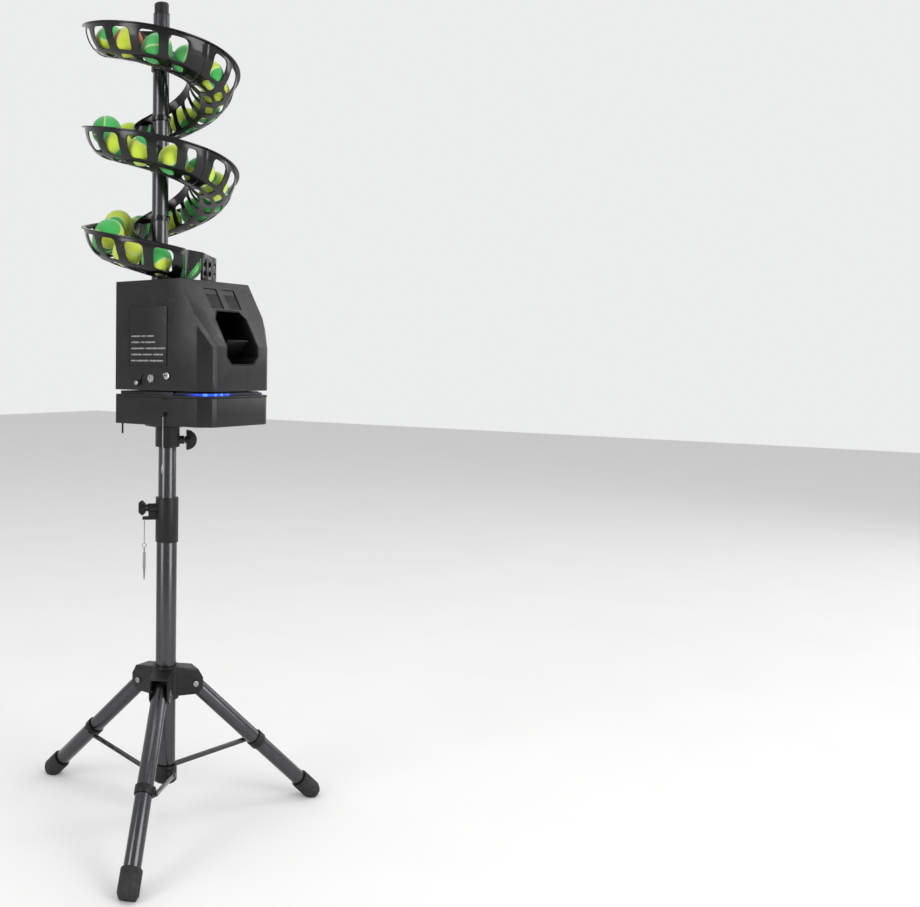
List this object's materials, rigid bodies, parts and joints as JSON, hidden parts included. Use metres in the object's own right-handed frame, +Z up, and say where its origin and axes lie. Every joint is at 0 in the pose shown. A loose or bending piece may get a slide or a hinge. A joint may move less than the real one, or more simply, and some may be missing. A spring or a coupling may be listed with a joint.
{
  "type": "tennis ball machine",
  "caption": "Ball launcher for tennis practice: a spiral rack feeds balls into a box that tosses them forward, all on a folding tripod with a telescopic mast.",
  "frame": {"origin": "centre of the bounding box on the floor", "axes": "+Z up along the mast, balls leave towards -Y, the rear leg points to +Y, and the side with the label and the switch faces -X"},
  "size_m": [0.6968, 0.6107, 1.869],
  "materials": {
    "tube": "semi-gloss dark gunmetal powder coat",
    "moulding": "fine-grained black nylon",
    "shell": "matt charcoal, fine spark texture",
    "bezel": "matt black",
    "spiral": "satin black",
    "rubber": "matt black",
    "steel": "zinc-plated",
    "chrome": "polished",
    "label": "printed film, plain grey rules",
    "light": "lit blue diffuser",
    "board": "green solder mask",
    "battery": "blue shrink sleeve",
    "gear": "natural acetal",
    "pad": "dark grey"
  },
  "bodies": {
    "stand": {"outer_tube": "tube", "brace_collar": "moulding", "height_collar": "moulding"},
    "hub": {"leg_hub": "moulding", "hub_pin_rear": "steel", "hub_pin_left": "steel", "hub_pin_right": "steel"},
    "hub_clamp": {"hub_knob": "moulding"},
    "height_clamp": {"height_knob": "moulding"},
    "tether": {"chain": "steel"},
    "pin": {"lock_pin": "steel"},
    "upper_mast": {"inner_tube": "tube"},
    "head_base": {"neck_socket": "moulding", "base_tub": "shell", "base_deck": "shell", "battery_pack": "battery", "swing_motor": "steel", "swivel_ring": "gear", "light_strip": "light", "aerial_stub": "rubber", "cord_gland": "moulding", "pull_cord": "steel"},
    "neck_clamp": {"neck_knob": "moulding"},
    "housing": {"housing_shell": "shell", "front_bezel": "bezel", "floor_plate": "shell", "label_plate": "label", "charge_socket": "chrome", "mech_frame": "steel", "launch_spring": "steel", "drive_motor": "steel", "launch_ramp": "bezel", "feed_motor": "steel", "control_board": "board", "pole_socket": "moulding", "ball_pole": "tube", "pole_cap": "moulding", "trough_1": "spiral", "trough_2": "spiral", "trough_3": "spiral", "trough_4": "spiral", "trough_5": "spiral", "end_guard": "spiral"},
    "socket_cap": {"dust_cap": "rubber"},
    "switch": {"power_switch": "chrome"},
    "arm": {"throw_arm": "pad"},
    "wheel": {"winding_wheel": "gear"},
    "feeder": {"feed_wheel": "gear"},
    "leg_rear": {"leg_tube_rear": "tube", "foot_rear": "rubber", "leg_clip_rear": "moulding"},
    "spreader_rear": {"brace_rear": "tube"},
    "leg_left": {"leg_tube_left": "tube", "foot_left": "rubber", "leg_clip_left": "moulding"},
    "spreader_left": {"brace_left": "tube"},
    "leg_right": {"leg_tube_right": "tube", "foot_right": "rubber", "leg_clip_right": "moulding"},
    "spreader_right": {"brace_right": "tube"}
  },
  "joints": [
    {"name": "hub_slide", "type": "slide", "parent": "stand", "child": "hub", "axis": [0, 0, 1], "range_m": [0, 0.233]},
    {"name": "hub_clamp_turn", "type": "hinge", "parent": "hub", "child": "hub_clamp", "pos_m": [0.0433, -0.0683, 0.322], "axis": [0.866, 0.5, 0], "range_deg": [-180, 180]},
    {"name": "leg_fold_rear", "type": "hinge", "parent": "hub", "child": "leg_rear", "pos_m": [0, -0.0273, 0.31], "axis": [-1, 0, 0], "range_deg": [0, 46.5]},
    {"name": "brace_fold_rear", "type": "hinge", "parent": "stand", "child": "spreader_rear", "pos_m": [0, -0.0698, 0.108], "axis": [1, 0, 0], "range_deg": [0, 66.7]},
    {"name": "leg_fold_left", "type": "hinge", "parent": "hub", "child": "leg_left", "pos_m": [-0.05716, -0.1263, 0.31], "axis": [0.5, -0.866, 0], "range_deg": [0, 46.5]},
    {"name": "brace_fold_left", "type": "hinge", "parent": "stand", "child": "spreader_left", "pos_m": [-0.02035, -0.10505, 0.108], "axis": [-0.5, 0.866, 0], "range_deg": [0, 66.7]},
    {"name": "leg_fold_right", "type": "hinge", "parent": "hub", "child": "leg_right", "pos_m": [0.05716, -0.1263, 0.31], "axis": [0.5, 0.866, 0], "range_deg": [0, 46.5]},
    {"name": "brace_fold_right", "type": "hinge", "parent": "stand", "child": "spreader_right", "pos_m": [0.02035, -0.10505, 0.108], "axis": [-0.5, -0.866, 0], "range_deg": [0, 66.7]},
    {"name": "height_slide", "type": "slide", "parent": "stand", "child": "upper_mast", "axis": [0, 0, 1], "range_m": [-0.03, 0.2]},
    {"name": "height_clamp_turn", "type": "hinge", "parent": "stand", "child": "height_clamp", "pos_m": [-0.03983, -0.05988, 0.718], "axis": [-0.766, 0.6428, 0], "range_deg": [-180, 180]},
    {"name": "chain_swing", "type": "hinge", "parent": "stand", "child": "tether", "pos_m": [-0.03983, -0.05988, 0.6915], "axis": [0.6428, 0.766, 0], "range_deg": [-5, 30]},
    {"name": "pin_swing", "type": "hinge", "parent": "tether", "child": "pin", "pos_m": [-0.03983, -0.05988, 0.6258], "axis": [0.6428, 0.766, 0], "range_deg": [-8, 25]},
    {"name": "head_pan", "type": "hinge", "parent": "upper_mast", "child": "head_base", "pos_m": [0, -0.0933, 0.9], "axis": [0, 0, 1], "range_deg": [-180, 180]},
    {"name": "neck_clamp_turn", "type": "hinge", "parent": "head_base", "child": "neck_clamp", "pos_m": [0.03145, -0.12823, 0.874], "axis": [0.6691, -0.7431, 0], "range_deg": [-180, 180]},
    {"name": "housing_swing", "type": "hinge", "parent": "head_base", "child": "housing", "pos_m": [0, -0.0933, 0.985], "axis": [0, 0, 1], "range_deg": [-20, 20]},
    {"name": "dust_cap_swing", "type": "hinge", "parent": "housing", "child": "socket_cap", "pos_m": [-0.1237, -0.125, 1.0247], "axis": [1, 0, 0], "range_deg": [-30, 30]},
    {"name": "power_turn", "type": "hinge", "parent": "housing", "child": "switch", "pos_m": [-0.126, -0.1973, 1.022], "axis": [1, 0, 0], "range_deg": [0, 60]},
    {"name": "arm_throw", "type": "hinge", "parent": "housing", "child": "arm", "pos_m": [0, -0.1433, 1.012], "axis": [1, 0, 0], "range_deg": [0, 55], "stiffness_Nm_per_rad": 0.25},
    {"name": "winding_turn", "type": "hinge", "parent": "housing", "child": "wheel", "pos_m": [-0.065, -0.0953, 1.02], "axis": [1, 0, 0], "continuous": true},
    {"name": "feed_turn", "type": "hinge", "parent": "housing", "child": "feeder", "pos_m": [0, -0.1383, 1.175], "axis": [1, 0, 0], "continuous": true}
  ],
  "couplings": [
    {"joint": "leg_fold_rear", "follows": "hub_slide", "rad_per_m": 3.4831},
    {"joint": "brace_fold_rear", "follows": "hub_slide", "rad_per_m": 4.9962},
    {"joint": "leg_fold_left", "follows": "hub_slide", "rad_per_m": 3.4831},
    {"joint": "brace_fold_left", "follows": "hub_slide", "rad_per_m": 4.9962},
    {"joint": "leg_fold_right", "follows": "hub_slide", "rad_per_m": 3.4831},
    {"joint": "brace_fold_right", "follows": "hub_slide", "rad_per_m": 4.9962}
  ]
}
